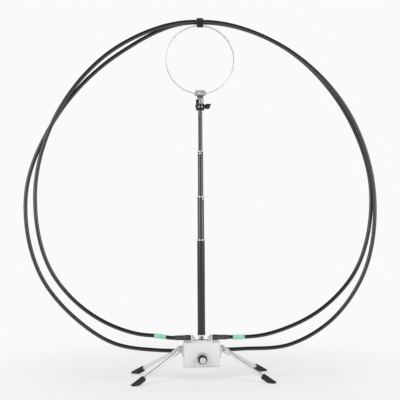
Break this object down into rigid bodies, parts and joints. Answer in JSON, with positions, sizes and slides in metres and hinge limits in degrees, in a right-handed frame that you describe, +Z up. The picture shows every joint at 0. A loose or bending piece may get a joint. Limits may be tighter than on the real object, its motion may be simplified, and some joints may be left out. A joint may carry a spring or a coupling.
{
  "type": "radio loop antenna",
  "caption": "Portable transmitting loop antenna: coiled coaxial loop and telescoping mast with coupling ring on a tuner case with folding legs.",
  "frame": {"origin": "on the floor under the mast axis, midway between the feet", "axes": "+Z up along the mast, +X to the right seen from the tuning knob, +Y to the back; the loop lies in the XZ plane"},
  "size_m": [0.9203, 0.1832, 0.9333],
  "materials": {
    "white_plastic": "satin",
    "pale_plastic": "satin",
    "insulator": "matte",
    "grey_plastic": "satin",
    "black_plastic": "satin",
    "cable_jacket": "satin",
    "black_shrink": "satin",
    "green_shrink": "satin",
    "foot_rubber": "matte",
    "black_anodised": "gloss anodised",
    "chrome": "polished",
    "aluminium": "satin",
    "bright_strip": "polished",
    "nickel": "plated",
    "dark_nickel": "satin",
    "steel": "bright",
    "black_steel": "oxide",
    "brass": "turned",
    "copper": "tinned copper"
  },
  "bodies": {
    "base": {"tuner_case": "white_plastic", "bottom_cover": "pale_plastic", "cover_screws": "steel", "tripod_insert": "brass", "dial_plate": "aluminium", "capacitor_frame": "insulator", "stator_plates": "aluminium", "reduction_drive": "steel", "copper_straps": "copper", "socket_bracket": "white_plastic", "bracket_screws": "steel", "loop_sockets": "nickel", "socket_insulators": "insulator", "mast_foot": "aluminium", "mast_foot_screw": "black_steel", "mast_tube_1": "black_anodised", "mast_collar_1": "chrome", "leg_brackets": "aluminium", "leg_bracket_screws": "steel", "leg_pins": "steel", "plug_bodies": "nickel", "plug_boots": "black_shrink", "green_bands": "green_shrink", "loop_cable": "cable_jacket", "clip_body": "black_plastic", "clip_cap": "black_plastic", "rear_cable_clip": "black_plastic"},
    "knob": {"tuning_knob": "black_plastic", "knob_shaft": "steel"},
    "rotor": {"rotor_shaft": "steel", "rotor_plates": "aluminium"},
    "nut_left": {"plug_nut_left": "dark_nickel"},
    "nut_right": {"plug_nut_right": "dark_nickel"},
    "leg_left": {"leg_yoke_left": "aluminium", "leg_rods_left": "aluminium", "leg_feet_left": "foot_rubber"},
    "leg_right": {"leg_yoke_right": "aluminium", "leg_rods_right": "aluminium", "leg_feet_right": "foot_rubber"},
    "mast_2": {"mast_tube_2": "black_anodised", "mast_collar_2": "chrome", "mast_bush_2": "black_plastic"},
    "mast_3": {"mast_tube_3": "black_anodised", "mast_collar_3": "chrome", "mast_bush_3": "black_plastic"},
    "mast_4": {"mast_tube_4": "black_anodised", "mast_bush_4": "black_plastic", "head_fork": "black_plastic", "tilt_bolt": "steel"},
    "button_1": {"lock_button_1": "chrome"},
    "button_2": {"lock_button_2": "chrome"},
    "button_3": {"lock_button_3": "chrome"},
    "head": {"tilt_tongue": "aluminium", "feed_block": "grey_plastic", "coupling_ring": "bright_strip", "ring_screws": "steel", "feed_socket": "nickel"},
    "lock_wheel": {"lock_ring": "black_plastic"},
    "wing": {"wing_knob": "black_plastic"}
  },
  "joints": [
    {"name": "knob_turn", "type": "hinge", "parent": "base", "child": "knob", "pos_m": [0, -0.04, 0.0535], "axis": [0, 1, 0], "range_deg": [-270, 270]},
    {"name": "rotor_turn", "type": "hinge", "parent": "base", "child": "rotor", "pos_m": [0, 0.005, 0.063], "axis": [0, 1, 0], "range_deg": [-46, 46]},
    {"name": "nut_left_turn", "type": "hinge", "parent": "base", "child": "nut_left", "pos_m": [-0.0367, 0, 0.1055], "axis": [1, 0, 0], "continuous": true},
    {"name": "nut_right_turn", "type": "hinge", "parent": "base", "child": "nut_right", "pos_m": [0.0367, 0, 0.1055], "axis": [1, 0, 0], "continuous": true},
    {"name": "leg_left_fold", "type": "hinge", "parent": "base", "child": "leg_left", "pos_m": [-0.056, 0, 0.075], "axis": [0, -1, 0], "range_deg": [0, 50]},
    {"name": "leg_right_fold", "type": "hinge", "parent": "base", "child": "leg_right", "pos_m": [0.056, 0, 0.075], "axis": [0, 1, 0], "range_deg": [0, 50]},
    {"name": "mast_2_slide", "type": "slide", "parent": "base", "child": "mast_2", "axis": [0, 0, -1], "range_m": [0, 0.098]},
    {"name": "mast_3_slide", "type": "slide", "parent": "mast_2", "child": "mast_3", "axis": [0, 0, -1], "range_m": [0, 0.102]},
    {"name": "mast_4_slide", "type": "slide", "parent": "mast_3", "child": "mast_4", "axis": [0, 0, -1], "range_m": [0, 0.096]},
    {"name": "button_1_press", "type": "slide", "parent": "base", "child": "button_1", "axis": [-0.9205, 0.3907, 0], "range_m": [0, 0.0006], "stiffness_N_per_m": 400, "springref_m": -0.001},
    {"name": "button_2_press", "type": "slide", "parent": "mast_2", "child": "button_2", "axis": [-0.4848, 0.8746, 0], "range_m": [0, 0.0006], "stiffness_N_per_m": 400, "springref_m": -0.001},
    {"name": "button_3_press", "type": "slide", "parent": "mast_3", "child": "button_3", "axis": [0.2588, 0.9659, 0], "range_m": [0, 0.0006], "stiffness_N_per_m": 400, "springref_m": -0.001},
    {"name": "head_tilt", "type": "hinge", "parent": "mast_4", "child": "head", "pos_m": [0, 0, 0.706], "axis": [-1, 0, 0], "range_deg": [0, 90]},
    {"name": "lock_wheel_turn", "type": "hinge", "parent": "head", "child": "lock_wheel", "pos_m": [0, 0, 0.7308], "axis": [0, 0, 1], "continuous": true},
    {"name": "wing_turn", "type": "hinge", "parent": "mast_4", "child": "wing", "pos_m": [0.0185, 0, 0.706], "axis": [1, 0, 0], "continuous": true}
  ],
  "couplings": [
    {"joint": "rotor_turn", "follows": "knob_turn", "ratio": 0.16667}
  ]
}
